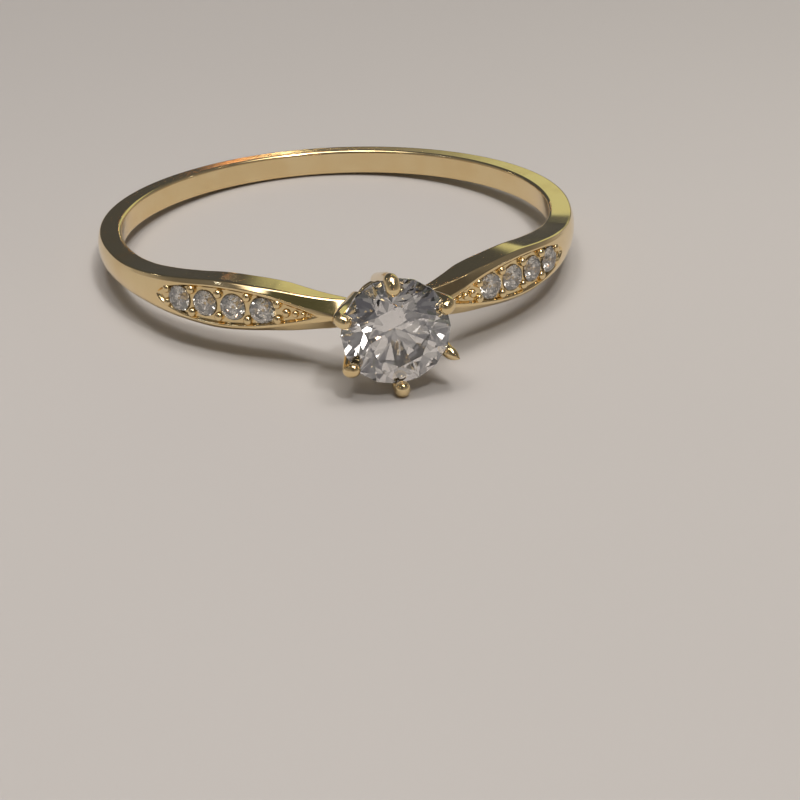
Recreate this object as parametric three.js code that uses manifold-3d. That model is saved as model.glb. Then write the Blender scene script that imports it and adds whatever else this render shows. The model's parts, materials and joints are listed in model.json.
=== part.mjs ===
// Six-claw solitaire engagement ring with a grain-set leaf on each shoulder.
// Millimetres, +Z up. The ring lies on its side: the table is z = 0 and the head points towards -Y.
import * as THREE from "three";
import { ConvexGeometry } from "three/addons/geometries/ConvexGeometry.js";
import { mergeVertices } from "three/addons/utils/BufferGeometryUtils.js";
import Module from "manifold-3d";

// Driving dimensions. Angles are degrees round the finger axis, counted from the head.
const FINGER_RADIUS = 8.5;
const BAND_SIDE_RADIUS = 9.45;
const BAND_BACK_RADIUS = 9.26;
const BAND_HALF_WIDTH = 0.5;
const INNER_EDGE_BREAK = 0.08;
const OUTER_BEVEL_DROP = 0.1;
const OUTER_BEVEL_WIDTH = 0.15;
const OUTER_DOME = 0.05;
const JOINT_ANGLE = 58;
const SHOULDER_END_ANGLE = 5;
const SOLDER_GAP = 0.01;

const LEAF_NEAR_ANGLE = 12;
const LEAF_WIDEST_ANGLE = 37;
const LEAF_FAR_ANGLE = 55;
const LEAF_HALF_WIDTH = 0.82;
const LEAF_RIM = 0.07;
const LEAF_RECESS = 0.13;
const MELEE_DIAMETER = 1.02;
const MELEE_ANGLES = [26.3, 33.5, 40.7, 47.9];
const SEAT_DRILL_RADIUS = 0.24;
const DRILL_LENGTH = 2;
const GRAIN_RADIUS = 0.15;

const STONE_DIAMETER = 4.1;
const HEAD_BASE_RADIUS = 9.6;
const GIRDLE_HEIGHT = 2.9;
// The claws as set, counted from the band's right-hand side; the lowest carries the ring at rest.
const CLAW_ANGLES = [93, 25, -27, -87, -145, 160];
const LOWEST_CLAW = 3;
const CLAW_BASE_SPREAD = 1.0;
const CLAW_RADIUS = 0.3;
const CLAW_KNEE = { spread: 2.19, height: 3.02 };
const CLAW_TIP = { spread: 1.93, height: 3.33, radius: 0.28 };
// The third claw stands off the stone, and its end is drawn to a point.
const LIFTED_CLAW = 2;
const LIFTED_TIP = { spread: 2.45, height: 3.35, radius: 0.1 };
const CLAW_FLARE = 0.41;
const BASE_RING_RADIUS = 0.76;
const BASE_RING_WIRE = 0.27;
const GALLERY_HEIGHT = 1.75;
const GALLERY_RADIUS = 1.42;
const GALLERY_WIRE = 0.22;

// Round brilliant proportions, for a girdle radius of 1.
const TABLE_RADIUS = 0.57;
const STAR_RADIUS = 0.763;
const LOWER_HALF_RADIUS = 0.23;
const CROWN_SLOPE = Math.tan(THREE.MathUtils.degToRad(34.5));
const PAVILION_SLOPE = Math.tan(THREE.MathUtils.degToRad(40.8));
const GIRDLE_THICKNESS = 0.06;

const GOLD = { color: 0xc4aa78, roughness: 0.18, metalness: 1 };
const BRIGHT_GOLD = { color: 0xd0b67e, roughness: 0.12, metalness: 1 };
const DIAMOND = { color: 0xdcdde6, roughness: 0.03, metalness: 0 };

const wasm = await Module();
wasm.setup();

const rad = THREE.MathUtils.degToRad;

// A closed three.js geometry as a solid that can be cut and joined.
function solid(geometry, matrix = new THREE.Matrix4()) {
  const bare = geometry.clone().applyMatrix4(matrix);
  bare.deleteAttribute("normal");
  bare.deleteAttribute("uv");
  const merged = mergeVertices(bare, 1e-5);
  return new wasm.Manifold(
    new wasm.Mesh({
      numProp: 3,
      vertProperties: merged.attributes.position.array,
      triVerts: new Uint32Array(merged.index.array),
    }),
  );
}

function geometryOf(body) {
  const mesh = body.getMesh();
  const geometry = new THREE.BufferGeometry();
  geometry.setAttribute("position", new THREE.BufferAttribute(mesh.vertProperties, 3));
  geometry.setIndex(new THREE.BufferAttribute(mesh.triVerts, 1));
  geometry.computeVertexNormals();
  return geometry;
}

function part(name, geometry, look) {
  const mesh = new THREE.Mesh(geometry, new THREE.MeshStandardMaterial(look));
  mesh.name = name;
  return mesh;
}

// A closed body through rings of equally many points, with a fan over each end.
function loft(rings) {
  const count = rings[0].length;
  const points = rings.flat();
  const faces = [];
  for (let i = 0; i < rings.length - 1; i++) {
    for (let j = 0; j < count; j++) {
      const a = i * count + j;
      const b = i * count + ((j + 1) % count);
      faces.push(a, b, a + count, b, b + count, a + count);
    }
  }
  for (const [ring, start, turn] of [[rings[0], 0, 1], [rings.at(-1), (rings.length - 1) * count, -1]]) {
    const middle = points.length;
    const sum = ring.reduce((total, p) => total.add(p), new THREE.Vector3());
    points.push(sum.divideScalar(count));
    for (let j = 0; j < count; j++) {
      const a = start + j;
      const b = start + ((j + 1) % count);
      faces.push(...(turn > 0 ? [middle, b, a] : [middle, a, b]));
    }
  }
  const geometry = new THREE.BufferGeometry().setFromPoints(points);
  geometry.setIndex(faces);
  geometry.computeVertexNormals();
  return geometry;
}

// A smooth curve through [x, value] stations that never overshoots them.
function through(stations) {
  const slope = (i) => (stations[i + 1][1] - stations[i][1]) / (stations[i + 1][0] - stations[i][0]);
  const tangents = stations.map((_, i) => {
    if (i === 0 || i === stations.length - 1) return 0;
    const [before, after] = [slope(i - 1), slope(i)];
    return before * after <= 0 ? 0 : (2 * before * after) / (before + after);
  });
  return (x) => {
    if (x <= stations[0][0]) return stations[0][1];
    if (x >= stations.at(-1)[0]) return stations.at(-1)[1];
    const i = stations.findIndex((s, k) => k > 0 && x <= s[0]) - 1;
    const span = stations[i + 1][0] - stations[i][0];
    const t = (x - stations[i][0]) / span;
    return (
      (2 * t ** 3 - 3 * t ** 2 + 1) * stations[i][1] +
      (t ** 3 - 2 * t ** 2 + t) * span * tangents[i] +
      (3 * t ** 2 - 2 * t ** 3) * stations[i + 1][1] +
      (t ** 3 - t ** 2) * span * tangents[i + 1]
    );
  };
}

// How the ring's section changes from the head round to the plain band.
const innerRadiusAt = through([[5, 10], [10, 9.6], [16, 9.05], [22, 8.63], [28, FINGER_RADIUS]]);
const outerRadiusAt = through([
  [5, 10.75],
  [9, 10.7],
  [16, 10.35],
  [26, 9.95],
  [37, 9.82],
  [50, 9.76],
  [62, 9.62],
  [82, BAND_SIDE_RADIUS + 0.02],
  [100, BAND_SIDE_RADIUS],
  [160, BAND_BACK_RADIUS],
]);
const halfWidthAt = through([
  [5, 0.52],
  [12, 0.6],
  [24, 0.82],
  [37, 0.95],
  [46, 0.84],
  [55, 0.7],
  [65, 0.56],
  [75, BAND_HALF_WIDTH],
]);
const bevelDropAt = through([
  [5, 0.6],
  [10, 0.5],
  [20, 0.28],
  [37, 0.2],
  [55, 0.14],
  [70, OUTER_BEVEL_DROP],
]);
const ridgeHalfWidthAt = through([[8, 0.1], [16, 0.3], [30, 0.75], [37, LEAF_HALF_WIDTH + 0.02]]);

// Half the width of the leaf between its rims: pointed towards the head, blunt at the far end.
function leafHalfWidth(angle) {
  if (angle <= LEAF_NEAR_ANGLE || angle >= LEAF_FAR_ANGLE) return 0;
  const towardsHead = angle < LEAF_WIDEST_ANGLE;
  const end = towardsHead ? LEAF_NEAR_ANGLE : LEAF_FAR_ANGLE;
  const reach = (angle - LEAF_WIDEST_ANGLE) / (end - LEAF_WIDEST_ANGLE);
  return LEAF_HALF_WIDTH * Math.cos((reach * Math.PI) / 2) ** (towardsHead ? 0.85 : 0.45);
}

// Half the width of the outer face, which narrows to a ridge where the shoulder meets the head.
function outerHalfWidth(angle) {
  const ridge = ridgeHalfWidthAt(angle);
  const plain = halfWidthAt(angle) - OUTER_BEVEL_WIDTH;
  return Math.min(Math.max(ridge, leafHalfWidth(angle) + 0.01), plain);
}

// One section of the band in (radius, height), going round it once.
function bandSection(angle) {
  const inner = innerRadiusAt(angle);
  const outer = outerRadiusAt(angle);
  const half = halfWidthAt(angle);
  const face = outerHalfWidth(angle);
  const leaf = leafHalfWidth(angle);
  const recess = LEAF_RECESS * THREE.MathUtils.smoothstep(leaf, 0.05, 0.3);
  const drop = bevelDropAt(angle);
  const floor = Math.max(leaf - LEAF_RIM - 0.05, face * 0.4);
  const crest = Math.max(leaf - LEAF_RIM, face * 0.7);
  const dome = (z) => OUTER_DOME * (z / face) ** 2;
  const upper = [
    [inner, half - INNER_EDGE_BREAK],
    [inner + INNER_EDGE_BREAK, half],
    [outer - drop, half],
    [outer - dome(face), face],
    [outer - dome(crest), crest],
    [outer - dome(floor) - recess, floor],
    [outer - dome(floor / 2) - recess, floor / 2],
  ];
  const lower = upper.map(([r, z]) => [r, -z]).reverse();
  return [...upper, [outer - recess, 0], ...lower];
}

// The band's section, stood up at an angle round the finger.
function sectionAt(angle) {
  const a = rad(angle);
  return bandSection(angle > 180 ? 360 - angle : Math.abs(angle)).map(
    ([r, z]) => new THREE.Vector3(r * Math.sin(a), -r * Math.cos(a), z),
  );
}

function sweep(from, to, steps) {
  const rings = [];
  for (let i = 0; i <= steps; i++) rings.push(sectionAt(from + ((to - from) * i) / steps));
  return loft(rings);
}

// A round brilliant standing on its culet axis: girdle middle at z = 0, table up.
function brilliant(diameter) {
  const r = diameter / 2;
  const points = [];
  const add = (radius, degrees, height) => {
    const a = rad(degrees);
    points.push(new THREE.Vector3(radius * Math.cos(a), radius * Math.sin(a), height).multiplyScalar(r));
  };
  const top = GIRDLE_THICKNESS / 2;
  const between = Math.cos(Math.PI / 8);
  for (let k = 0; k < 8; k++) {
    const main = k * 45;
    const side = main + 22.5;
    add(TABLE_RADIUS, main, top + CROWN_SLOPE * (1 - TABLE_RADIUS));
    add(STAR_RADIUS, side, top + CROWN_SLOPE * (1 - STAR_RADIUS * between));
    for (const corner of [main, side]) {
      add(1, corner, top);
      add(1, corner, -top);
    }
    add(LOWER_HALF_RADIUS, side, -top - PAVILION_SLOPE * (1 - LOWER_HALF_RADIUS * between));
  }
  add(0, 0, -top - PAVILION_SLOPE);
  return new ConvexGeometry(points);
}

// A round wire along a path, with a radius for each point along it and domed ends.
function wire(path, radiusAt, steps, sides) {
  const rings = [];
  const side = new THREE.Vector3(0, 1, 0);
  const ringAt = (t, radius, shift) => {
    const along = path.getTangent(t);
    const up = new THREE.Vector3().crossVectors(along, side).normalize();
    const centre = path.getPoint(t).addScaledVector(along, shift);
    const ring = [];
    for (let j = 0; j < sides; j++) {
      const a = (-2 * Math.PI * j) / sides;
      ring.push(
        centre
          .clone()
          .addScaledVector(up, radius * Math.cos(a))
          .addScaledVector(side, radius * Math.sin(a)),
      );
    }
    rings.push(ring);
  };
  const dome = [72, 38].map(rad);
  for (const a of dome) ringAt(0, radiusAt(0) * Math.cos(a), -radiusAt(0) * Math.sin(a));
  for (let i = 0; i <= steps; i++) ringAt(i / steps, radiusAt(i / steps), 0);
  for (const a of dome.reverse()) ringAt(1, radiusAt(1) * Math.cos(a), radiusAt(1) * Math.sin(a));
  return loft(rings);
}

// One claw at its place round the head: up the flare, past the girdle and to its tip.
function claw(index, extra) {
  const tip = index === LIFTED_CLAW ? LIFTED_TIP : CLAW_TIP;
  const path = new THREE.CatmullRomCurve3([
    new THREE.Vector3(CLAW_BASE_SPREAD, 0, 0),
    new THREE.Vector3(CLAW_BASE_SPREAD + CLAW_FLARE * 1.2, 0, 1.2),
    new THREE.Vector3(CLAW_BASE_SPREAD + CLAW_FLARE * 2.4, 0, 2.4),
    new THREE.Vector3(CLAW_KNEE.spread, 0, CLAW_KNEE.height),
    new THREE.Vector3(tip.spread, 0, tip.height),
  ]);
  const radiusAt = (t) => THREE.MathUtils.lerp(CLAW_RADIUS, tip.radius, t ** 4) + extra;
  return solid(wire(path, radiusAt, 9, 8), new THREE.Matrix4().makeRotationZ(rad(CLAW_ANGLES[index])));
}

const headMatrix = new THREE.Matrix4()
  .makeTranslation(0, -HEAD_BASE_RADIUS, 0)
  .multiply(new THREE.Matrix4().makeRotationX(Math.PI / 2));

// The centre stone and everything of the head, a hair larger, for cutting their neighbours.
const stoneSeat = solid(
  brilliant(STONE_DIAMETER + 2 * SOLDER_GAP),
  new THREE.Matrix4().makeTranslation(0, 0, GIRDLE_HEIGHT),
);
const clawSpace = CLAW_ANGLES
  .map((_, index) => claw(index, SOLDER_GAP))
  .reduce((all, one) => all.add(one));

function ringOfWire(radius, wireRadius, height) {
  const geometry = new THREE.TorusGeometry(radius, wireRadius, 8, 30);
  return solid(geometry, new THREE.Matrix4().makeTranslation(0, 0, height));
}

function makeHead() {
  const head = new THREE.Group();
  head.position.set(0, -HEAD_BASE_RADIUS, 0);
  head.rotation.x = Math.PI / 2;
  const baseRing = ringOfWire(BASE_RING_RADIUS, BASE_RING_WIRE, 0).subtract(clawSpace);
  head.add(part("head_base_ring", geometryOf(baseRing), GOLD));
  const gallery = ringOfWire(GALLERY_RADIUS, GALLERY_WIRE, GALLERY_HEIGHT).subtract(clawSpace);
  head.add(part("gallery_rail", geometryOf(gallery), GOLD));
  CLAW_ANGLES.forEach((_, index) => {
    const cut = claw(index, 0).subtract(stoneSeat);
    head.add(part(`claw_${index + 1}`, geometryOf(cut), BRIGHT_GOLD));
  });
  const stone = part("centre_stone", brilliant(STONE_DIAMETER), DIAMOND);
  stone.position.z = GIRDLE_HEIGHT;
  head.add(stone);
  return head;
}

// Where the grains of one leaf stand: [angle, height, radius].
function grainPlaces() {
  const places = [];
  const pair = (angle, z, radius) => places.push([angle, z, radius], [angle, -z, radius]);
  const pitch = MELEE_ANGLES[1] - MELEE_ANGLES[0];
  for (const angle of MELEE_ANGLES.slice(1)) pair(angle - pitch / 2, 0.47, GRAIN_RADIUS);
  pair(MELEE_ANGLES.at(-1) + 3.6, 0.3, GRAIN_RADIUS);
  pair(MELEE_ANGLES[0] - 3.8, 0.3, GRAIN_RADIUS);
  const run = [[20.6, 0.14], [18.7, 0.12], [17.1, 0.1], [15.7, 0.08]];
  for (const [angle, radius] of run) places.push([angle, 0, radius]);
  return places;
}

const aroundFinger = (angle, radius, z) =>
  new THREE.Matrix4()
    .makeRotationZ(rad(angle))
    .multiply(new THREE.Matrix4().makeTranslation(0, -radius, z))
    .multiply(new THREE.Matrix4().makeRotationX(Math.PI / 2));

const leafFloor = (angle) => outerRadiusAt(angle) - LEAF_RECESS;
const meleeGirdleRadius = (angle) => leafFloor(angle) + 0.04;

// A shoulder: the swept body, its grains, its drilled seats, and the place left for the head.
function shoulder(side) {
  const from = side > 0 ? SHOULDER_END_ANGLE : -(JOINT_ANGLE - 0.1);
  const to = side > 0 ? JOINT_ANGLE - 0.1 : -SHOULDER_END_ANGLE;
  let body = solid(sweep(from, to, 32));
  for (const [angle, z, radius] of grainPlaces()) {
    const grain = new THREE.SphereGeometry(radius, 8, 6);
    body = body.add(solid(grain, aroundFinger(side * angle, leafFloor(angle) + 0.03, z)));
  }
  for (const angle of MELEE_ANGLES) {
    const radius = meleeGirdleRadius(angle);
    const seat = aroundFinger(side * angle, radius, 0);
    const drill = new THREE.CylinderGeometry(SEAT_DRILL_RADIUS, SEAT_DRILL_RADIUS, DRILL_LENGTH, 10);
    drill.rotateX(Math.PI / 2).translate(0, 0, -DRILL_LENGTH / 2);
    body = body
      .subtract(solid(brilliant(MELEE_DIAMETER + 2 * SOLDER_GAP), seat))
      .subtract(solid(drill, seat));
  }
  const headSpace = clawSpace.add(ringOfWire(BASE_RING_RADIUS, BASE_RING_WIRE + SOLDER_GAP, 0));
  const inRing = headMatrix.toArray();
  return geometryOf(body.subtract(headSpace.transform(inRing)));
}

function makeMelee(side, label) {
  const set = new THREE.Group();
  MELEE_ANGLES.forEach((angle, i) => {
    const place = new THREE.Group();
    place.rotation.z = rad(side * angle);
    const stone = part(`${label}_melee_${i + 1}`, brilliant(MELEE_DIAMETER), DIAMOND);
    stone.position.y = -meleeGirdleRadius(angle);
    stone.rotation.x = Math.PI / 2;
    place.add(stone);
    set.add(place);
  });
  return set;
}

const ring = new THREE.Group();
ring.add(part("shank", sweep(JOINT_ANGLE, 360 - JOINT_ANGLE, 61), GOLD));
ring.add(part("right_shoulder", shoulder(1), GOLD));
ring.add(part("left_shoulder", shoulder(-1), GOLD));
ring.add(makeMelee(1, "right"), makeMelee(-1, "left"), makeHead());

// At rest the ring stands on the lower edge of the band's back and on the knee of the lowest claw.
function restingTilt() {
  const backEdge = { y: BAND_BACK_RADIUS - OUTER_BEVEL_DROP, z: -BAND_HALF_WIDTH };
  const down = Math.sin(rad(CLAW_ANGLES[LOWEST_CLAW]));
  const knee = { y: -HEAD_BASE_RADIUS - CLAW_KNEE.height, z: CLAW_KNEE.spread * down };
  const along = backEdge.y - knee.y;
  const rise = backEdge.z - knee.z;
  return -Math.atan2(rise, along) - Math.asin(CLAW_RADIUS / Math.hypot(along, rise));
}

ring.rotation.x = restingTilt();
ring.updateMatrixWorld(true);
const extent = new THREE.Box3().setFromObject(ring, true);
const middle = extent.getCenter(new THREE.Vector3());
ring.position.set(-middle.x, -middle.y, -extent.min.z);

const lyingRing = new THREE.Group();
lyingRing.add(ring);

export default lyingRing;
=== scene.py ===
"""The looks of a six-claw solitaire ring with grain-set shoulders, over its fixed CAD frame."""

import json
import math

import bpy
import numpy as np
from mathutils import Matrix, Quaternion, Vector


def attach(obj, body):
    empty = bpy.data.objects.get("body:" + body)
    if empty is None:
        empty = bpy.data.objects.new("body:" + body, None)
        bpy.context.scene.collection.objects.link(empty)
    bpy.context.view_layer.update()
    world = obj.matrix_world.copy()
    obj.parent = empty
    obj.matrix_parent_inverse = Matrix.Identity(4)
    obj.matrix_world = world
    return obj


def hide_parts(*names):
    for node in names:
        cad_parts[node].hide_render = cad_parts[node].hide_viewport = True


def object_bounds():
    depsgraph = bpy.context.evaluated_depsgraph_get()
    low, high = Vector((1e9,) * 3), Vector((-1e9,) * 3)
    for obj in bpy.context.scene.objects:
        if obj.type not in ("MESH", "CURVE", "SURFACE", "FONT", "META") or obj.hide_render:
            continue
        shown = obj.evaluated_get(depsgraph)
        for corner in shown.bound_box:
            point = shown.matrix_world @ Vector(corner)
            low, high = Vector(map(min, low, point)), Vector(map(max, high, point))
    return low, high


bl_info = {
    "name": "Solitaire Ring",
    "version": (1, 0, 0),
    "blender": (4, 5, 0),
    "location": "View3D > Sidebar > Solitaire Ring",
    "description": "Builds a six-claw solitaire ring with grain-set shoulders on its frame",
    "category": "Object",
}

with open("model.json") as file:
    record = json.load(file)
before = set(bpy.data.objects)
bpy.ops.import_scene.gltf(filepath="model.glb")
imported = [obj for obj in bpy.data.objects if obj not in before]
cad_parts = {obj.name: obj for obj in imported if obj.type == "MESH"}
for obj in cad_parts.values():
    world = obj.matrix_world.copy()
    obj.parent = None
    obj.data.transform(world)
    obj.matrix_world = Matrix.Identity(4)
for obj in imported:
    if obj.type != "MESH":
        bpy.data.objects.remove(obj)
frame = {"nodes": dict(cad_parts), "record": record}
CAD_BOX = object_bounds()
MM = 0.001

# The radius, from the finger axis, at which the record's two side-face mounts lie.
MOUNT_RADIUS = 8.85

# Angles round the finger, in degrees from the head, and lengths in millimetres.
JOINT_ANGLE = 58.0
HEAD_END_ANGLE = 5.0
INNER_STATIONS = [(5, 10.0), (10, 9.6), (16, 9.05), (22, 8.63), (28, 8.5)]
OUTER_STATIONS = [
    (5, 10.75),
    (9, 10.7),
    (16, 10.35),
    (26, 9.95),
    (37, 9.82),
    (50, 9.76),
    (62, 9.62),
    (82, 9.47),
    (100, 9.45),
    (160, 9.26),
]
WIDTH_STATIONS = [
    (5, 0.52),
    (12, 0.6),
    (24, 0.82),
    (37, 0.95),
    (46, 0.84),
    (55, 0.7),
    (65, 0.56),
    (75, 0.5),
]
BEVEL_STATIONS = [(5, 0.6), (10, 0.5), (20, 0.28), (37, 0.2), (55, 0.14), (70, 0.1)]
RIDGE_STATIONS = [(8, 0.1), (16, 0.3), (30, 0.75), (37, 0.84)]
LEAF_NEAR, LEAF_WIDEST, LEAF_FAR = 12.0, 37.0, 55.0
LEAF_WALL = 0.12
OUTER_DOME = 0.05
BEVEL_WIDTH = 0.15
INNER_ROUNDING, SIDE_ROUNDING, RIM_ROUNDING = 0.13, 0.07, 0.05
SEAT_CLEARANCE = 0.01
SEAT_SLOPE = 0.9
SEAT_DEEPEST = 0.36
CREASE = 40.0
MELEE_ANGLES = (26.3, 33.5, 40.7, 47.9)
GRAIN_STANDING = 0.03
GRAIN_SQUASH = 0.95
# Height and radius of the grains between two stones, and the same after a shift in degrees beyond the
# last stone and short of the first.
GRAINS_BETWEEN = (0.45, 0.18)
GRAINS_PAST_LAST = (3.7, 0.27, 0.17)
GRAINS_SHORT_OF_FIRST = (3.6, 0.3, 0.18)
# Angle and radius of the single grains that run into the leaf's point.
GRAIN_RUN = ((20.7, 0.17), (18.6, 0.14), (16.9, 0.11), (15.6, 0.08), (14.7, 0.055))
# Each claw's angle about the head's axis, how much more than the others it leans outwards, its end's
# heading in degrees from that axis, inwards below zero, its tip's radius and how many radii long its
# end is. The third stands off the stone.
CLAWS = (
    (93, -3.2, -74, 0.29, 1.0),
    (25, 0.0, -62, 0.27, 1.0),
    (-27, 0.0, 42, 0.24, 2.1),
    (-87, 1.3, -62, 0.29, 1.0),
    (-145, 0.0, -62, 0.26, 1.0),
    (160, 0.0, -62, 0.26, 1.0),
)
NOTCH_GAP = 0.004
# Heights over the base ring between which a claw leans.
CLAW_LEAN_FROM, CLAW_LEAN_FULL = 1.8, 3.3

# How deep the gold is sunk, in millimetres, where its painted shade starts and where that painted shade is
# darkest.
SHADE_FROM_DEPTH, SHADE_FULL_DEPTH = 0.04, 0.36
DIAMOND_IOR = 2.417
CENTRE_CLARITY, MELEE_CLARITY = 1.0, 0.94

TABLE_HALF = 0.6
HORIZON_TINT = (0.62, 0.57, 0.52, 1)
ZENITH_TINT = (0.25, 0.24, 0.24, 1)
BACKDROP_TINT = (0.80, 0.77, 0.75, 1)
# Soft round patches of the sky, laid on in this order: colour, azimuth, elevation, inner and outer
# radius, and the elevation of a level lower edge where there is one. Azimuths run from +Y towards +X.
SKY_PATCHES = (
    ((0.115, 0.12, 0.13, 1), -8, 14, 32, 42, None),
    ((1.0, 1.02, 0.60, 1), 27, 14, 14.5, 17, 9.0),
    ((0.50, 0.45, 0.38, 1), 9.6, 11.2, 0.8, 1.8, None),
    ((0.16, 0.15, 0.16, 1), -160, 36, 16, 30, None),
    ((5.6, 5.3, 5.0, 1), 0, 90, 19, 27, None),
    ((0.12, 0.13, 0.09, 1), -137, 61, 14, 20, None),
    ((0.13, 0.12, 0.12, 1), 113, 50, 10, 16, None),
)
EDGE_SOFTNESS = 0.6
# Large lamps: name, azimuth, elevation, distance, size, and power as a share of the key light's.
SOFT_LAMPS = (
    ("key", 156, 64, 1.2, 0.15, 1.0),
    ("left_ceiling", -95, 80, 1.2, 0.16, 0.36),
    ("right_ceiling", 70, 80, 1.2, 0.16, 0.36),
)
SOFT_LAMP_TINT = (1.0, 0.97, 0.93)
# Small lamps: name, azimuth, elevation, distance, size, power and colour.
SPOTS = (
    ("warm_spot", 7.3, 12.3, 1.0, 0.012, 0.003, (1.0, 0.45, 0.18)),
    ("pale_spot", 8.0, 12.3, 1.0, 0.008, 0.003, (1.0, 0.88, 0.55)),
)
# A spiral of ceiling lamps: how many, the turn and rise in degrees from one to the next, the lowest
# one's elevation, and the distance, size and power of each.
SHOP_LAMPS = 8
SHOP_TURN, SHOP_RISE, SHOP_LOWEST = 137.5, 5.2, 22
SHOP_LAMP = (0.6, 0.028, 0.02)
SHOP_TINTS = ((1.0, 0.62, 0.42), (1.0, 0.95, 0.85), (0.80, 0.86, 1.0), (1.0, 0.86, 0.60))


def through(stations, x):
    """A monotone cubic through (x, value) stations: Hermite pieces whose slopes are harmonic means."""
    xs, ys = np.array(stations, dtype=float).T
    slopes = np.diff(ys) / np.diff(xs)
    before, after = slopes[:-1], slopes[1:]
    safe = np.where(before * after > 0, before + after, 1.0)
    inner = np.where(before * after > 0, 2 * before * after / safe, 0.0)
    tangents = np.concatenate([[0.0], inner, [0.0]])
    x = np.clip(x, xs[0], xs[-1])
    i = np.clip(np.searchsorted(xs, x, side="right") - 1, 0, len(xs) - 2)
    span = xs[i + 1] - xs[i]
    t = (x - xs[i]) / span
    return (
        (2 * t**3 - 3 * t**2 + 1) * ys[i]
        + (t**3 - 2 * t**2 + t) * span * tangents[i]
        + (3 * t**2 - 2 * t**3) * ys[i + 1]
        + (t**3 - t**2) * span * tangents[i + 1]
    )


def smoothstep(low, high, x):
    """0 below low, 1 above high, and 3t^2 - 2t^3 between them."""
    t = np.clip((x - low) / (high - low), 0.0, 1.0)
    return t * t * (3 - 2 * t)


# ---------------------------------------------------------------- places in the frame


class RingFrame:
    """The ring's own axes in the row: finger axis up, head towards -Y, worked out from the mounts."""

    def __init__(self):
        mounts = {m["name"]: m for m in frame["record"]["mounts"]}
        upper = mounts["band_side_upper"]
        lower = mounts["band_side_lower"]
        self.up = Vector(upper["axis"]).normalized()
        self.right = Vector((1, 0, 0))
        self.back = self.up.cross(self.right)
        middle = (Vector(upper["pos_m"]) + Vector(lower["pos_m"])) / 2
        self.centre = middle - self.back * MOUNT_RADIUS * MM
        self.turn = np.array([self.right, self.back, self.up])

    def place(self, points):
        """Points in millimetres on the ring's axes, as metres in the row's frame."""
        return np.asarray(points) @ self.turn * MM + np.array(self.centre)


RING = RingFrame()


def around(radius, degrees, height):
    """A cylinder's coordinates about the finger axis as x, y, z: (r sin a, -r cos a, h)."""
    a = np.radians(degrees)
    return np.stack(np.broadcast_arrays(radius * np.sin(a), -radius * np.cos(a), height), axis=-1)


def head_to_ring(points):
    """Points about the head's axis (its z outwards) on the ring's axes: (x, -z, y)."""
    x, y, z = np.moveaxis(points, -1, 0)
    return np.stack([x, -z, y], axis=-1)


# ---------------------------------------------------------------- meshes


def mesh_piece(name, points, faces, values=None):
    """A mesh object at the origin from ring-frame millimetres, smooth but for edges past CREASE."""
    mesh = bpy.data.meshes.new(name)
    mesh.from_pydata(RING.place(points), [], faces)
    mesh.update()
    mesh.validate()
    if values is not None:
        layer = mesh.attributes.new("hollow", "FLOAT", "POINT")
        layer.data.foreach_set("value", np.asarray(values, dtype=np.float32))
    mesh.shade_smooth()
    mesh.set_sharp_from_angle(angle=math.radians(CREASE))
    piece = bpy.data.objects.new(name, mesh)
    bpy.context.scene.collection.objects.link(piece)
    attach(piece, "root")
    return piece


def sweep_faces(rows, columns, start=0, closed=False):
    """Quads between neighbouring rows of a grid whose columns wrap, with a face over each end."""
    count = rows if closed else rows - 1
    i, j = np.meshgrid(np.arange(count), np.arange(columns), indexing="ij")
    nxt = (i + 1) % rows
    turn = (j + 1) % columns
    corners = [i * columns + j, i * columns + turn, nxt * columns + turn, nxt * columns + j]
    faces = (np.stack(corners, axis=-1).reshape(-1, 4) + start).tolist()
    if not closed:
        first = np.arange(columns) + start
        faces.append(first[::-1].tolist())
        faces.append((first + (rows - 1) * columns).tolist())
    return faces


def joined(parts):
    """Several (points, faces, values) shells as one."""
    points, faces, values = [], [], []
    start = 0
    for shell_points, shell_faces, shell_values in parts:
        flat = np.asarray(shell_points).reshape(-1, 3)
        points.append(flat)
        faces += [[k + start for k in face] for face in shell_faces]
        values.append(np.broadcast_to(np.ravel(shell_values), (len(flat),)))
        start += len(flat)
    return np.concatenate(points), faces, np.concatenate(values)


# ---------------------------------------------------------------- the band's section


def leaf_half_width(angle, widest):
    """A cosine lobe each way from the widest angle, to the power 0.85 at the head and 0.45 at the far end."""
    towards_head = angle < LEAF_WIDEST
    end = np.where(towards_head, LEAF_NEAR, LEAF_FAR)
    reach = np.clip((angle - LEAF_WIDEST) / (end - LEAF_WIDEST), 0.0, 1.0)
    lobe = np.maximum(np.cos(reach * math.pi / 2), 0.0)
    return widest * lobe ** np.where(towards_head, 0.85, 0.45)


def fillet(before, corner, after, cut, steps):
    """A quadratic Bezier arc in each section from a point cut short of the corner to one cut past it."""
    to_before = before - corner
    to_after = after - corner
    near = np.linalg.norm(to_before, axis=-1, keepdims=True)
    far = np.linalg.norm(to_after, axis=-1, keepdims=True)
    a = corner + to_before / near * np.minimum(cut, 0.4 * near)
    b = corner + to_after / far * np.minimum(cut, 0.4 * far)
    t = np.linspace(0, 1, steps + 1)[None, :, None]
    return (1 - t) ** 2 * a[:, None] + 2 * t * (1 - t) * corner[:, None] + t**2 * b[:, None]


def between(start, end, shares=(0.05, 0.35, 0.65, 0.95)):
    """Points on the straight line from start to end at the given shares of it."""
    t = np.array(shares)[None, :, None]
    return (1 - t) * start[:, None] + t * end[:, None]


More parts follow.
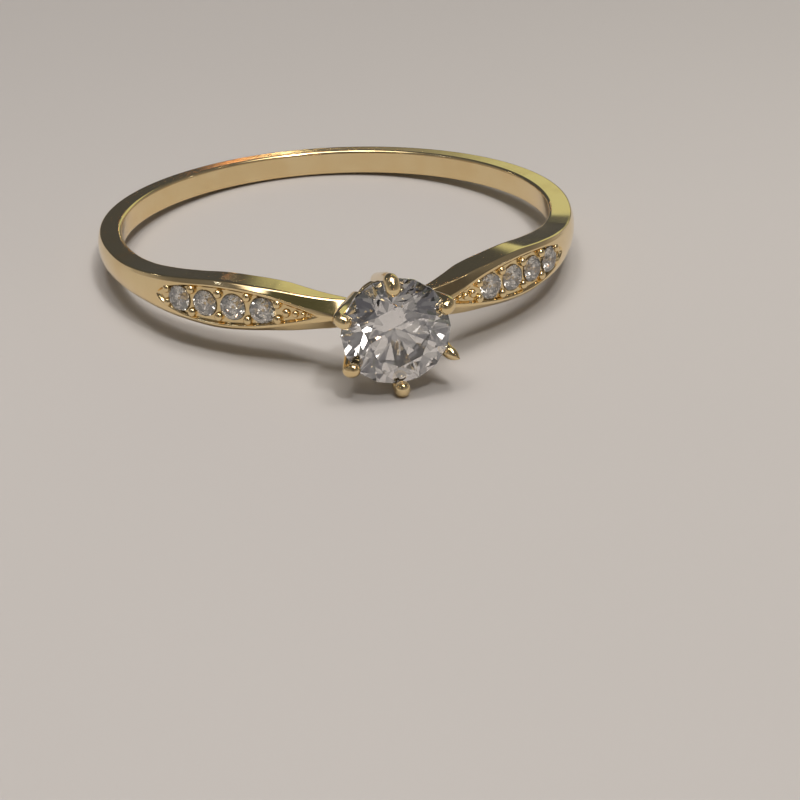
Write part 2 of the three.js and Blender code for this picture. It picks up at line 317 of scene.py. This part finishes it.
class Band:
    """The swept section of band and shoulder: inner wall, flat sides, bevels and the leaf's field."""

    def __init__(self, sizes):
        self.leaf_width = sizes.leaf_half_width / MM
        self.recess_depth = sizes.leaf_recess / MM
        self.rim = sizes.leaf_rim / MM
        self.seat = sizes.melee_diameter / 2 / MM + SEAT_CLEARANCE

    def floor(self, angle):
        """The radius of the leaf's floor."""
        return through(OUTER_STATIONS, angle) - self.recess_depth

    def field(self, angle, z, face):
        """The outer face: a shallow dome, less the leaf's steep-walled recess and a cone for each seat."""
        leaf = leaf_half_width(angle, self.leaf_width)
        radius = through(OUTER_STATIONS, angle) - OUTER_DOME * (z / face) ** 2
        depth = self.recess_depth * smoothstep(0.05, 0.3, leaf)
        inside = smoothstep(0.0, LEAF_WALL, leaf - self.rim - np.abs(z))
        hollow = depth * inside
        for seat_angle in MELEE_ANGLES:
            along = np.radians(angle - seat_angle) * self.floor(seat_angle)
            reach = np.hypot(along, z)
            hollow = hollow + np.clip(SEAT_SLOPE * (self.seat - reach), 0.0, SEAT_DEEPEST)
        return radius - hollow, hollow

    def sections(self, angle, field_points):
        """Closed sections (radius, height) for an array of angles, and how deep each point is sunk."""
        inner = through(INNER_STATIONS, angle)
        outer = through(OUTER_STATIONS, angle)
        half = through(WIDTH_STATIONS, angle)
        drop = through(BEVEL_STATIONS, angle)
        leaf = leaf_half_width(angle, self.leaf_width)
        ridge = through(RIDGE_STATIONS, angle)
        face = np.minimum(np.maximum(ridge, leaf + 0.012), half - BEVEL_WIDTH)
        point = lambda r, z: np.stack(np.broadcast_arrays(r, z), axis=-1)
        wall = point(inner, 0 * half)
        inner_edge = point(inner, half)
        side_edge = point(outer - drop, half)
        rim = point(outer - OUTER_DOME, face)
        inward = point(outer - OUTER_DOME, face * 0.97)
        first = fillet(wall, inner_edge, side_edge, INNER_ROUNDING, 6)
        second = fillet(inner_edge, side_edge, rim, SIDE_ROUNDING, 5)
        third = fillet(side_edge, rim, inward, RIM_ROUNDING, 4)
        upper = np.concatenate(
            [
                between(wall, first[:, 0], (0.5, 0.95)),
                first,
                between(first[:, -1], second[:, 0]),
                second,
                between(second[:, -1], third[:, 0], (0.1, 0.9)),
                third[:, :-1],
            ],
            axis=1,
        )
        share = np.sin(np.linspace(math.pi / 2, -math.pi / 2, field_points))
        spread = np.maximum(leaf, face * 0.985)[:, None]
        z = np.minimum(spread, face[:, None] * 0.985) * share
        r, hollow = self.field(angle[:, None], z, face[:, None])
        field = np.stack([r, z], axis=-1)
        lower = upper[:, ::-1] * np.array([1, -1])
        loop = np.concatenate([upper, field, lower], axis=1)
        depth = np.zeros(loop.shape[:2])
        depth[:, upper.shape[1] : upper.shape[1] + field_points] = hollow
        return loop, depth

    def swept(self, start, end, rows, field_points):
        """The section carried from one angle to another, as (points, faces, hollow)."""
        angle = np.linspace(start, end, rows)
        folded = np.abs((angle + 180) % 360 - 180)
        loop, depth = self.sections(folded, field_points)
        points = around(loop[..., 0], angle[:, None], loop[..., 1])
        return points, sweep_faces(rows, loop.shape[1]), depth


def ball(radii, rings=12, sides=20):
    """An ellipsoid about its centre: (a sin u cos v, b sin u sin v, c cos u), with a point at each pole."""
    u = np.linspace(0, math.pi, rings + 1)[1:-1, None]
    v = np.linspace(0, 2 * math.pi, sides, endpoint=False)
    body = np.stack([np.sin(u) * np.cos(v), np.sin(u) * np.sin(v), np.cos(u) + 0 * v], axis=-1)
    points = np.concatenate([body.reshape(-1, 3), [[0, 0, 1], [0, 0, -1]]]) * np.array(radii)
    i, j = np.meshgrid(np.arange(rings - 2), np.arange(sides), indexing="ij")
    turn = (j + 1) % sides
    quads = np.stack([i * sides + j, (i + 1) * sides + j, (i + 1) * sides + turn, i * sides + turn], -1)
    faces = quads.reshape(-1, 4).tolist()
    top, bottom = len(points) - 2, len(points) - 1
    last = (rings - 2) * sides
    k = np.arange(sides)
    faces += np.stack([k, (k + 1) % sides, np.full(sides, top)], -1).tolist()
    faces += np.stack([last + (k + 1) % sides, last + k, np.full(sides, bottom)], -1).tolist()
    return points, faces


def grain_places():
    """Where one leaf's grains stand: (angle, height, radius)."""
    pitch = MELEE_ANGLES[1] - MELEE_ANGLES[0]
    pairs = [(angle - pitch / 2, *GRAINS_BETWEEN) for angle in MELEE_ANGLES[1:]]
    beyond, *shape = GRAINS_PAST_LAST
    pairs.append((MELEE_ANGLES[-1] + beyond, *shape))
    short, *shape = GRAINS_SHORT_OF_FIRST
    pairs.append((MELEE_ANGLES[0] - short, *shape))
    mirrored = [(angle, sign * z, radius) for angle, z, radius in pairs for sign in (1, -1)]
    return mirrored + [(angle, 0.0, radius) for angle, radius in GRAIN_RUN]


def grains(band, side):
    """A ball of metal at each grain's place, its pole along the radius there."""
    shells = []
    for angle, z, radius in grain_places():
        points, faces = ball((radius, radius, radius * GRAIN_SQUASH))
        base = band.floor(angle) + GRAIN_STANDING
        a = math.radians(side * angle)
        outward = np.array([math.sin(a), -math.cos(a), 0])
        along = np.array([math.cos(a), math.sin(a), 0])
        axes = np.array([along, [0, 0, 1], outward])
        if np.linalg.det(axes) < 0:
            axes[0] = -axes[0]
        shells.append((points @ axes + outward * base + np.array([0, 0, z]), faces, 0.0))
    return shells


# ---------------------------------------------------------------- the head


def claw_path(sizes, lean, end_heading, count):
    """A straight flare and then an arc to the end's heading, as (spread, height), heading and share run."""
    flare = sizes.claw_flare + lean
    straight = sizes.claw_length / MM
    bend = sizes.claw_bend_radius / MM
    turn = end_heading - flare
    length = straight + bend * abs(turn)
    s = np.linspace(0, length, count)
    heading = flare + np.sign(turn) * np.maximum(s - straight, 0.0) / bend
    run = np.minimum(s, straight)
    side = np.sign(turn)
    spread = run * math.sin(flare) - side * bend * (np.cos(heading) - math.cos(flare))
    height = run * math.cos(flare) + side * bend * (np.sin(heading) - math.sin(flare))
    return spread + sizes.claw_base_spread / MM, height, heading, s / length


def claw_shell(sizes, degrees, lean, end_heading, tip, point, rows=64, sides=32):
    """A round wire round the claw's path; each end closes as a half ellipse, point radii long at the tip.

    Past the gallery the claw leans sideways to the head's lower side by a smooth step of its height."""
    wire = sizes.claw_wire_radius / MM
    spread, height, heading, share = claw_path(sizes, math.radians(lean), math.radians(end_heading), rows)
    radius = wire + (tip - wire) * smoothstep(0.7, 1.0, share)
    cap = np.linspace(0, math.pi / 2, 11)[:-1]
    count = len(cap)
    start = np.array([spread[0], height[0]])
    finish = np.array([spread[-1], height[-1]])
    first_way = np.array([math.sin(heading[0]), math.cos(heading[0])])
    last_way = np.array([math.sin(heading[-1]), math.cos(heading[-1])])
    foot = start - first_way * (radius[0] * np.sin(cap))[::-1, None]
    end = finish + last_way * (radius[-1] * point * np.sin(cap))[:, None]
    line = np.concatenate([foot, np.stack([spread, height], -1)[1:-1], end])
    angle = np.concatenate([np.full(count, heading[0]), heading[1:-1], np.full(count, heading[-1])])
    closing = np.cos(cap) ** point
    girth = np.concatenate([(radius[0] * np.cos(cap))[::-1], radius[1:-1], radius[-1] * closing])
    v = np.linspace(0, 2 * math.pi, sides, endpoint=False)
    out = np.stack([np.cos(angle), 0 * angle, -np.sin(angle)], -1)
    across = np.array([0.0, 1.0, 0.0])
    ring = out[:, None] * np.cos(v)[None, :, None] + across * np.sin(v)[None, :, None]
    centre = np.stack([line[:, 0], 0 * line[:, 0], line[:, 1]], -1)
    points = centre[:, None] + ring * girth[:, None, None]
    a = math.radians(degrees)
    turned = points @ np.array([[math.cos(a), math.sin(a), 0], [-math.sin(a), math.cos(a), 0], [0, 0, 1]])
    turned[..., 1] -= sizes.claw_lean / MM * smoothstep(CLAW_LEAN_FROM, CLAW_LEAN_FULL, turned[..., 2])
    return turned, sweep_faces(len(line), sides)


def facet_planes(node):
    """Each facet's outward normal and distance, from a CAD stone's own mesh, in the row's frame."""
    mesh = frame["nodes"][node].data
    normals = np.empty(len(mesh.polygons) * 3, dtype=np.float32)
    middles = np.empty(len(mesh.polygons) * 3, dtype=np.float32)
    mesh.polygons.foreach_get("normal", normals)
    mesh.polygons.foreach_get("center", middles)
    normals = normals.reshape(-1, 3).astype(float)
    middles = middles.reshape(-1, 3).astype(float)
    return normals, (normals * middles).sum(1)


def clear_of_stone(piece, node, gap):
    """Moves the vertices that lie in a convex stone out through its nearest facet, to gap beyond it."""
    normals, distances = facet_planes(node)
    co = np.empty(len(piece.data.vertices) * 3, dtype=np.float32)
    piece.data.vertices.foreach_get("co", co)
    co = co.reshape(-1, 3).astype(float)
    depth = co @ normals.T - distances - gap
    nearest = depth.argmax(1)
    worst = depth.max(1)
    inside = worst < 0
    co[inside] -= normals[nearest[inside]] * worst[inside, None]
    piece.data.vertices.foreach_set("co", co.astype(np.float32).ravel())
    piece.data.update()


def wire_ring(radius, wire, height, rows=144, sides=32):
    """A torus about the head's axis: ((R + w cos v) cos u, (R + w cos v) sin u, h + w sin v)."""
    u = np.linspace(0, 2 * math.pi, rows, endpoint=False)[:, None]
    v = np.linspace(0, 2 * math.pi, sides, endpoint=False)
    reach = radius + wire * np.cos(v)
    points = np.stack([reach * np.cos(u), reach * np.sin(u), height + wire * np.sin(v) + 0 * u], -1)
    return points, sweep_faces(rows, sides, closed=True)


# ---------------------------------------------------------------- shader maths


class Value:
    """A shader socket that takes part in Python arithmetic by adding Math nodes."""

    def __init__(self, tree, socket):
        self.tree = tree
        self.socket = socket

    def maths(self, operation, *others):
        return self.tree.node("ShaderNodeMath", {"operation": operation}, [self, *others])

    def __add__(self, other):
        return self.maths("ADD", other)

    __radd__ = __add__

    def __mul__(self, other):
        return self.maths("MULTIPLY", other)

    __rmul__ = __mul__

    def step(self, low, high):
        """0 below low and 1 above high, with a smooth rise between."""
        kind = {"interpolation_type": "SMOOTHSTEP"}
        limits = {"Value": self, "From Min": low, "From Max": high}
        return self.tree.node("ShaderNodeMapRange", kind, limits)


class Tree:
    """One node tree, with one method that adds any node."""

    def __init__(self, owner):
        owner.use_nodes = True
        self.nodes = owner.node_tree.nodes
        self.links = owner.node_tree.links
        self.nodes.clear()

    def node(self, kind, settings=None, values=None, output=0):
        """A node of a type, its settings made first, then the values or links of its sockets."""
        node = self.nodes.new(kind)
        for key, value in (settings or {}).items():
            if key == "stops":
                self.set_stops(node.color_ramp, value)
            else:
                setattr(node, key, value)
        values = values or {}
        entries = values.items() if isinstance(values, dict) else enumerate(values)
        for key, value in entries:
            if isinstance(value, Value):
                self.links.new(value.socket, node.inputs[key])
            else:
                node.inputs[key].default_value = value
        return Value(self, node.outputs[output])

    @staticmethod
    def set_stops(ramp, stops):
        while len(ramp.elements) > 1:
            ramp.elements.remove(ramp.elements[-1])
        ramp.elements[0].position, ramp.elements[0].color = stops[0]
        for position, colour in stops[1:]:
            ramp.elements.new(position).color = colour

    def mix(self, share, a, b):
        """A colour mix by share."""
        sockets = {0: share, 6: a, 7: b}
        return self.node("ShaderNodeMix", {"data_type": "RGBA"}, sockets, output=2)

    def noise(self, place, scale, detail=3.0, roughness=0.5):
        sockets = {"Vector": place, "Scale": scale, "Detail": detail, "Roughness": roughness}
        return self.node("ShaderNodeTexNoise", None, sockets)

    def finish(self, shader):
        end = self.nodes.new("ShaderNodeOutputMaterial")
        self.links.new(shader.socket, end.inputs["Surface"])


def rgba(colour):
    return (*tuple(colour)[:3], 1.0)


def polished_gold(name, look, hollow=False, scratches=1.0):
    """Polished yellow gold: worn in soft patches, finely scratched, with painted shade darkening it where it
    is sunk.
    """
    material = bpy.data.materials.new(name)
    tree = Tree(material)
    place = tree.node("ShaderNodeTexCoord", output=3)
    cloud = tree.noise(place, 650.0)
    fine = tree.noise(place, 5200.0, 4.0, 0.6)
    stretched = tree.node("ShaderNodeMapping", None, {"Vector": place, "Scale": (1.0, 1.0, 9.0)})
    hairlines = tree.noise(stretched, 3800.0, 2.0, 0.7)
    colour = tree.mix(cloud.step(0.35, 0.7), rgba(look.gold), rgba(look.gold_warm))
    rough = look.gold_roughness + cloud.step(0.4, 0.75) * 0.05 + fine.step(0.55, 0.8) * 0.06
    if hollow:
        # Painted shade: the deeper the surface lies in the leaf's recess and the seats, the darker its colour
        # is painted, and the rougher it is.
        sunk = tree.node("ShaderNodeAttribute", {"attribute_name": "hollow"}, output=2)
        shade = sunk.step(SHADE_FROM_DEPTH, SHADE_FULL_DEPTH)
        colour = tree.mix(shade, colour, rgba(look.gold_painted_shade))
        rough = rough + shade * 0.12
    bumps = fine * 0.35 + hairlines * 0.65
    normal = tree.node(
        "ShaderNodeBump",
        None,
        {"Strength": 0.25 * scratches, "Distance": 4e-6, "Height": bumps},
    )
    sockets = {"Base Color": colour, "Metallic": 1.0, "Roughness": rough, "Normal": normal}
    tree.finish(tree.node("ShaderNodeBsdfPrincipled", None, sockets))
    return material


def diamond(name, clear, clouded, clarity):
    """Clear faceted stone: sharp refraction, with faint clouding and the least trace of finger grease."""
    material = bpy.data.materials.new(name)
    tree = Tree(material)
    place = tree.node("ShaderNodeTexCoord", output=3)
    cloud = tree.noise(place, 900.0, 2.0)
    smear = tree.noise(place, 2600.0, 3.0, 0.6)
    colour = tree.mix(cloud.step(0.3, 0.7), rgba(clear), rgba(clouded))
    rough = smear.step(0.6, 0.85) * 0.02
    sockets = {
        "Base Color": colour,
        "Roughness": rough,
        "IOR": DIAMOND_IOR,
        "Transmission Weight": clarity,
    }
    tree.finish(tree.node("ShaderNodeBsdfPrincipled", None, sockets))
    return material


def dress(piece, material):
    piece.data.materials.clear()
    piece.data.materials.append(material)


# ---------------------------------------------------------------- sizes and colours a user may change


def length(name, description, millimetres):
    return bpy.props.FloatProperty(
        name=name,
        description=description,
        default=millimetres * MM,
        min=0.0,
        precision=5,
        subtype="DISTANCE",
        unit="LENGTH",
    )


def tint(name, description, colour):
    return bpy.props.FloatVectorProperty(
        name=name, description=description, default=colour, min=0.0, max=1.0, size=3, subtype="COLOR"
    )


class SolitaireSizes(bpy.types.PropertyGroup):
    """Sizes of the ring's fine shapes."""

    leaf_half_width: length("Leaf half width", "Half the widest width of a shoulder's leaf", 0.82)
    leaf_recess: length("Leaf recess", "How deep the leaf's floor lies under its rim", 0.13)
    leaf_rim: length("Leaf rim", "Width of the bright rim round the leaf", 0.07)
    melee_diameter: length("Small stones", "Diameter of the shoulder stones", 1.02)
    claw_wire_radius: length("Claw wire", "Radius of a claw's wire", 0.29)
    claw_lean: length("Claw lean", "How far the tips lean to the head's lower side", 0.07)
    claw_base_spread: length("Claw base spread", "A claw's distance from the head's axis at its foot", 1.0)
    claw_length: length("Claw length", "Length of a claw's straight flare", 3.08)
    claw_bend_radius: length("Claw bend", "Radius of the bend over the stone", 0.27)
    claw_flare: bpy.props.FloatProperty(
        name="Claw flare",
        description="How far a claw leans outwards",
        default=math.radians(22.3),
        subtype="ANGLE",
        unit="ROTATION",
    )
    base_ring_radius: length("Base ring", "Radius of the ring under the claws", 0.76)
    base_ring_wire: length("Base ring wire", "Radius of that ring's wire", 0.27)
    gallery_radius: length("Gallery rail", "Radius of the rail below the girdle", 1.42)
    gallery_wire: length("Gallery wire", "Radius of that rail's wire", 0.22)
    gallery_height: length("Gallery height", "Height of the rail over the base ring", 1.75)
    head_base: length("Head base", "The base ring's distance from the finger axis", 9.6)


class SolitaireLook(bpy.types.PropertyGroup):
    """Colours and polish of gold and stones."""

    gold: tint("Gold", "Colour of the polished gold", (0.88, 0.70, 0.40))
    gold_warm: tint("Warm gold", "Colour of its warmer patches", (0.85, 0.65, 0.35))
    # Painted shade: the colour that the gold is darkened towards deep in the seats and the leaf's recess.
    gold_painted_shade: tint("Sunken gold", "Colour of the gold deep in the seats", (0.62, 0.47, 0.24))
    gold_roughness: bpy.props.FloatProperty(
        name="Gold roughness", description="Least roughness of the gold", default=0.1, min=0.0, max=1.0
    )
    stone: tint("Stone", "Colour of the clear stone", (1.0, 0.985, 0.975))
    stone_cloud: tint("Stone clouding", "Colour of its fainter parts", (0.98, 0.955, 0.94))
    small_stone: tint("Small stones", "Colour of the shoulder stones", (1.0, 0.97, 0.90))
    small_stone_cloud: tint("Small stone clouding", "Colour of their fainter parts", (0.98, 0.93, 0.84))


class SolitaireStage(bpy.types.PropertyGroup):
    """Camera, floor and light."""

    azimuth: bpy.props.FloatProperty(
        name="Azimuth",
        description="Where the camera stands round the ring, from straight before the head",
        default=math.radians(-10.607),
        subtype="ANGLE",
        unit="ROTATION",
    )
    elevation: bpy.props.FloatProperty(
        name="Elevation",
        description="The camera's height as an angle over the table",
        default=math.radians(26.51),
        subtype="ANGLE",
        unit="ROTATION",
    )
    roll: bpy.props.FloatProperty(
        name="Roll",
        description="The camera's turn about its own axis",
        default=math.radians(-1.585),
        subtype="ANGLE",
        unit="ROTATION",
    )
    distance: length("Distance", "From the camera to the point that it looks at", 126.7)
    lens: bpy.props.FloatProperty(
        name="Lens", description="Focal length", default=155.4, min=1.0, subtype="DISTANCE_CAMERA"
    )
    floor: tint("Floor", "Colour of the table", (0.55, 0.525, 0.51))
    key_power: bpy.props.FloatProperty(
        name="Key light",
        description="Power of the key light",
        default=3.5,
        min=0.0,
        subtype="POWER",
        unit="POWER",
    )
    fill_strength: bpy.props.FloatProperty(
        name="Fill", description="Strength of the light from all round", default=0.62, min=0.0
    )


def settings(context):
    scene = context.scene
    return scene.solitaire_sizes, scene.solitaire_look, scene.solitaire_stage


# ---------------------------------------------------------------- operators


class SOLITAIRE_OT_shank(bpy.types.Operator):
    """Sweeps the plain band round the back of the finger"""

    bl_idname = "solitaire.shank"
    bl_label = "Shank"

    def execute(self, context):
        sizes, look, _ = settings(context)
        points, faces, depth = Band(sizes).swept(JOINT_ANGLE, 360 - JOINT_ANGLE, 401, 13)
        piece = mesh_piece("shank_polished", points.reshape(-1, 3), faces, depth.ravel())
        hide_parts("shank")
        dress(piece, polished_gold("gold_band", look))
        return {"FINISHED"}


class SOLITAIRE_OT_shoulders(bpy.types.Operator):
    """Sweeps both shoulders with their leaves, seats and raised grains"""

    bl_idname = "solitaire.shoulders"
    bl_label = "Shoulders"

    def execute(self, context):
        sizes, look, _ = settings(context)
        band = Band(sizes)
        material = polished_gold("gold_leaf", look, hollow=True)
        for side, label in ((1, "right"), (-1, "left")):
            ends = (HEAD_END_ANGLE, JOINT_ANGLE) if side > 0 else (-JOINT_ANGLE, -HEAD_END_ANGLE)
            body = band.swept(*ends, 361, 97)
            points, faces, depth = joined([body, *grains(band, side)])
            piece = mesh_piece(f"{label}_shoulder_set", points, faces, depth)
            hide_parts(f"{label}_shoulder")
            dress(piece, material)
        return {"FINISHED"}


class SOLITAIRE_OT_head_rings(bpy.types.Operator):
    """Makes the head's base ring and its gallery rail"""

    bl_idname = "solitaire.head_rings"
    bl_label = "Head rings"

    def execute(self, context):
        sizes, look, _ = settings(context)
        material = polished_gold("gold_head", look)
        base = np.array([0, -sizes.head_base / MM, 0])
        rings = (
            ("head_base_ring", sizes.base_ring_radius, sizes.base_ring_wire, 0.0),
            ("gallery_rail", sizes.gallery_radius, sizes.gallery_wire, sizes.gallery_height),
        )
        for node, radius, wire, height in rings:
            points, faces = wire_ring(radius / MM, wire / MM, height / MM)
            placed = head_to_ring(points.reshape(-1, 3)) + base
            piece = mesh_piece(f"{node}_wire", placed, faces)
            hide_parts(node)
            dress(piece, material)
        return {"FINISHED"}


class SOLITAIRE_OT_claws(bpy.types.Operator):
    """Bends the six claws over the stone, each notched where the girdle sits"""

    bl_idname = "solitaire.claws"
    bl_label = "Claws"

    def execute(self, context):
        sizes, look, _ = settings(context)
        material = polished_gold("gold_claws", look, scratches=0.6)
        base = np.array([0, -sizes.head_base / MM, 0])
        for number, shape in enumerate(CLAWS, start=1):
            points, faces = claw_shell(sizes, *shape)
            placed = head_to_ring(points.reshape(-1, 3)) + base
            piece = mesh_piece(f"claw_{number}_bent", placed, faces)
            clear_of_stone(piece, "centre_stone", NOTCH_GAP * MM)
            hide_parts(f"claw_{number}")
            dress(piece, material)
        return {"FINISHED"}


class SOLITAIRE_OT_stones(bpy.types.Operator):
    """Gives the cut stones their clear material"""

    bl_idname = "solitaire.stones"
    bl_label = "Stones"

    def execute(self, context):
        _, look, _ = settings(context)
        centre = diamond("diamond_centre", look.stone, look.stone_cloud, CENTRE_CLARITY)
        small = diamond("diamond_melee", look.small_stone, look.small_stone_cloud, MELEE_CLARITY)
        for name, node in frame["nodes"].items():
            if name == "centre_stone":
                dress(node, centre)
            elif "melee" in name:
                dress(node, small)
        return {"FINISHED"}


class SOLITAIRE_OT_stage(bpy.types.Operator):
    """Lays the pale table and sets the light and the camera"""

    bl_idname = "solitaire.stage"
    bl_label = "Stage"

    def execute(self, context):
        _, _, stage = settings(context)
        context.scene.view_settings.view_transform = "Standard"
        self.floor(stage)
        self.world(stage)
        self.lights(stage)
        self.camera(context, stage)
        return {"FINISHED"}

    @staticmethod
    def floor(stage):
        half = TABLE_HALF
        mesh = bpy.data.meshes.new("table_top")
        corners = [(-half, -half, 0), (half, -half, 0), (half, half, 0), (-half, half, 0)]
        mesh.from_pydata(corners, [], [(0, 1, 2, 3)])
        floor = bpy.data.objects.new("table_top", mesh)
        bpy.context.scene.collection.objects.link(floor)
        material = bpy.data.materials.new("matt_table")
        tree = Tree(material)
        place = tree.node("ShaderNodeTexCoord", output=3)
        cloud = tree.noise(place, 18.0)
        back = tree.node("ShaderNodeSeparateXYZ", None, [place], output=1)
        # Painted shade: the table darkens towards the back, to 0.78 of its colour, with a faint random cloudy
        # tone of its own laid over it.
        shade = tuple(0.78 * c for c in stage.floor)
        share = cloud.step(0.3, 0.7) * 0.12 + back.step(-0.01, 0.045) * 0.88
        colour = tree.mix(share, rgba(stage.floor), rgba(shade))
        sockets = {"Base Color": colour, "Roughness": 0.55, "Specular IOR Level": 0.25}
        tree.finish(tree.node("ShaderNodeBsdfPrincipled", None, sockets))
        dress(floor, material)

    @staticmethod
    def world(stage):
        world = bpy.data.worlds.new("studio")
        bpy.context.scene.world = world
        tree = Tree(world)
        way = tree.node("ShaderNodeTexCoord", output=0)

        def towards(azimuth, elevation):
            """How nearly the way looked at is this one, as a cosine."""
            a, e = math.radians(azimuth), math.radians(elevation)
            aim = (math.sin(a) * math.cos(e), math.cos(a) * math.cos(e), math.sin(e))
            return tree.node("ShaderNodeVectorMath", {"operation": "DOT_PRODUCT"}, [way, aim], output=1)

        height = towards(0, 90)

        def over(level):
            """0 below a level lower edge at this elevation and 1 above it."""
            low, high = (math.sin(math.radians(level + s)) for s in (-EDGE_SOFTNESS, EDGE_SOFTNESS))
            return height.step(low, high)

        base = tree.mix(height.step(0.0, 0.5), HORIZON_TINT, ZENITH_TINT)
        for colour, azimuth, elevation, inner, outer, edge in SKY_PATCHES:
            low, high = math.cos(math.radians(outer)), math.cos(math.radians(inner))
            share = towards(azimuth, elevation).step(low, high)
            base = tree.mix(share if edge is None else share * over(edge), base, colour)
        seen = tree.node("ShaderNodeLightPath", output=0)
        base = tree.mix(seen, base, BACKDROP_TINT)
        background = tree.node("ShaderNodeBackground", None, {0: base, 1: stage.fill_strength})
        end = tree.nodes.new("ShaderNodeOutputWorld")
        tree.links.new(background.socket, end.inputs["Surface"])

    @staticmethod
    def lamp(name, azimuth, elevation, distance, size, power, colour):
        """A square lamp that faces the ring: its way in degrees, the rest in metres and watts."""
        a, e = math.radians(azimuth), math.radians(elevation)
        place = distance * Vector((math.sin(a) * math.cos(e), math.cos(a) * math.cos(e), math.sin(e)))
        data = bpy.data.lights.new(name, "AREA")
        data.energy = power
        data.size = size
        data.color = colour
        light = bpy.data.objects.new(name, data)
        light.location = place
        light.rotation_euler = (-place).to_track_quat("-Z", "Y").to_euler()
        bpy.context.scene.collection.objects.link(light)

    def lights(self, stage):
        for name, azimuth, elevation, distance, size, share in SOFT_LAMPS:
            power = share * stage.key_power
            self.lamp(name, azimuth, elevation, distance, size, power, SOFT_LAMP_TINT)
        for spot in SPOTS:
            self.lamp(*spot)
        for number in range(SHOP_LAMPS):
            azimuth = -180 + SHOP_TURN * number % 360
            elevation = SHOP_LOWEST + SHOP_RISE * number
            colour = SHOP_TINTS[number % len(SHOP_TINTS)]
            self.lamp(f"shop_{number + 1}", azimuth, elevation, *SHOP_LAMP, colour)

    @staticmethod
    def camera(context, stage):
        low, high = CAD_BOX
        aim = Vector(((low.x + high.x) / 2, low.y, low.z)) + Vector((-0.05, 0.15, 0.0)) * MM
        a, e = stage.azimuth, stage.elevation
        back = Vector((math.sin(a) * math.cos(e), -math.cos(a) * math.cos(e), math.sin(e)))
        data = bpy.data.cameras.new("view")
        data.lens = stage.lens
        data.sensor_width = 36.0
        data.clip_start = 0.005
        data.clip_end = 5.0
        camera = bpy.data.objects.new("view", data)
        camera.location = aim + back * stage.distance
        level = (-back).to_track_quat("-Z", "Y")
        camera.rotation_mode = "QUATERNION"
        camera.rotation_quaternion = level @ Quaternion((0, 0, 1), stage.roll)
        context.scene.collection.objects.link(camera)
        context.scene.camera = camera


class SOLITAIRE_PT_panel(bpy.types.Panel):
    """Lists the ring's pieces and its sizes"""

    bl_idname = "SOLITAIRE_PT_panel"
    bl_label = "Solitaire Ring"
    bl_space_type = "VIEW_3D"
    bl_region_type = "UI"
    bl_category = "Solitaire Ring"

    def draw(self, context):
        layout = self.layout
        for operator in OPERATORS:
            layout.operator(operator.bl_idname)
        for group in settings(context):
            box = layout.box()
            for name in group.bl_rna.properties.keys():
                if name not in {"rna_type", "name"}:
                    box.prop(group, name)


GROUPS = (SolitaireSizes, SolitaireLook, SolitaireStage)
OPERATORS = (
    SOLITAIRE_OT_shank,
    SOLITAIRE_OT_shoulders,
    SOLITAIRE_OT_head_rings,
    SOLITAIRE_OT_claws,
    SOLITAIRE_OT_stones,
    SOLITAIRE_OT_stage,
)
CLASSES = (*GROUPS, *OPERATORS, SOLITAIRE_PT_panel)


def register():
    for cls in CLASSES:
        bpy.utils.register_class(cls)
    bpy.types.Scene.solitaire_sizes = bpy.props.PointerProperty(type=SolitaireSizes)
    bpy.types.Scene.solitaire_look = bpy.props.PointerProperty(type=SolitaireLook)
    bpy.types.Scene.solitaire_stage = bpy.props.PointerProperty(type=SolitaireStage)


def unregister():
    del bpy.types.Scene.solitaire_stage
    del bpy.types.Scene.solitaire_look
    del bpy.types.Scene.solitaire_sizes
    for cls in reversed(CLASSES):
        bpy.utils.unregister_class(cls)


def main():
    register()
    bpy.ops.solitaire.shank()
    bpy.ops.solitaire.shoulders()
    bpy.ops.solitaire.head_rings()
    bpy.ops.solitaire.claws()
    bpy.ops.solitaire.stones()
    bpy.ops.solitaire.stage()


if __name__ == "__main__":
    main()
